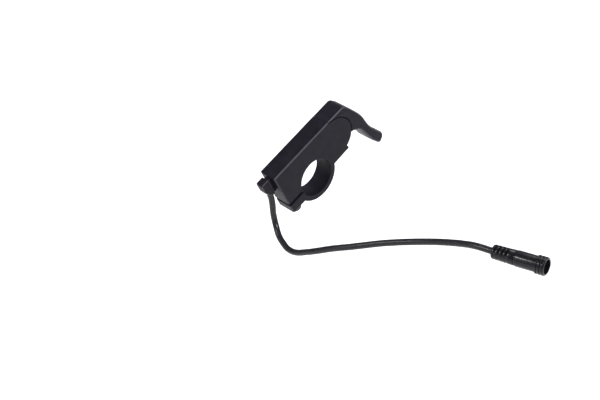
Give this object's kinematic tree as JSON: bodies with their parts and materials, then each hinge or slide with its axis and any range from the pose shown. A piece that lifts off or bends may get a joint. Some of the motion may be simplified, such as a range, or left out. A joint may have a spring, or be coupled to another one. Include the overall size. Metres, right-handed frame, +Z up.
{
  "type": "thumb throttle",
  "caption": "Flat black thumb lever for a handlebar: clamp housing, sprung paddle with magnets, sealed sensor, cable with a strain relief and a round waterproof plug.",
  "frame": {"origin": "centre of the handlebar in the middle of the housing's thickness", "axes": "+X along the bar, inboard; +Y towards the rider; +Z up"},
  "size_m": [0.1657, 0.0891, 0.0653],
  "materials": {
    "housing_plastic": "fine moulded texture, near black",
    "cover_plastic": "fine moulded texture, near black",
    "paddle_plastic": "fine moulded texture, near black",
    "gasket_rubber": "matt moulded rubber",
    "grommet_rubber": "satin moulded rubber",
    "seal_rubber": "moulded ring seal",
    "plug_rubber": "satin overmould",
    "cable_sheath": "extruded sheath, satin",
    "plug_core": "moulded insert",
    "screw_steel": "dark zinc",
    "pin_steel": "turned steel",
    "bolt_steel": "black oxide",
    "nut_steel": "zinc plated",
    "spring_steel": "drawn spring wire",
    "magnet_metal": "nickel plated",
    "bushing_bronze": "sintered bronze",
    "contact_metal": "gilt contact",
    "washer_nylon": "natural nylon",
    "board_laminate": "lacquered circuit board",
    "sensor_resin": "moulded resin package",
    "wire_red_sheath": "wire insulation",
    "wire_black_sheath": "wire insulation",
    "wire_green_sheath": "wire insulation"
  },
  "bodies": {
    "body": {"housing": "housing_plastic", "housing_cover": "cover_plastic", "cover_gasket": "gasket_rubber", "cover_screw_1": "screw_steel", "cover_screw_2": "screw_steel", "cover_screw_3": "screw_steel", "pivot_pin": "pin_steel", "pivot_washer_inner": "washer_nylon", "pivot_washer_outer": "washer_nylon", "return_spring": "spring_steel", "sensor_board": "board_laminate", "hall_sensor": "sensor_resin", "wire_red": "wire_red_sheath", "wire_black": "wire_black_sheath", "wire_green": "wire_green_sheath", "cable_grommet": "grommet_rubber", "cable": "cable_sheath", "pinch_bolt": "bolt_steel", "pinch_nut": "nut_steel", "plug_body": "plug_rubber", "plug_insert": "plug_core", "plug_pin_1": "contact_metal", "plug_pin_2": "contact_metal", "plug_pin_3": "contact_metal", "plug_seal": "seal_rubber"},
    "lever": {"paddle": "paddle_plastic", "paddle_bushing": "bushing_bronze", "magnet_north": "magnet_metal", "magnet_south": "magnet_metal"}
  },
  "joints": [
    {"name": "paddle_pivot", "type": "hinge", "parent": "body", "child": "lever", "pos_m": [0, 0.01448, 0.01939], "axis": [-1, 0, 0], "range_deg": [0, 36], "stiffness_Nm_per_rad": 0.12, "springref_deg": -20.05, "deforming": ["return_spring"]}
  ]
}
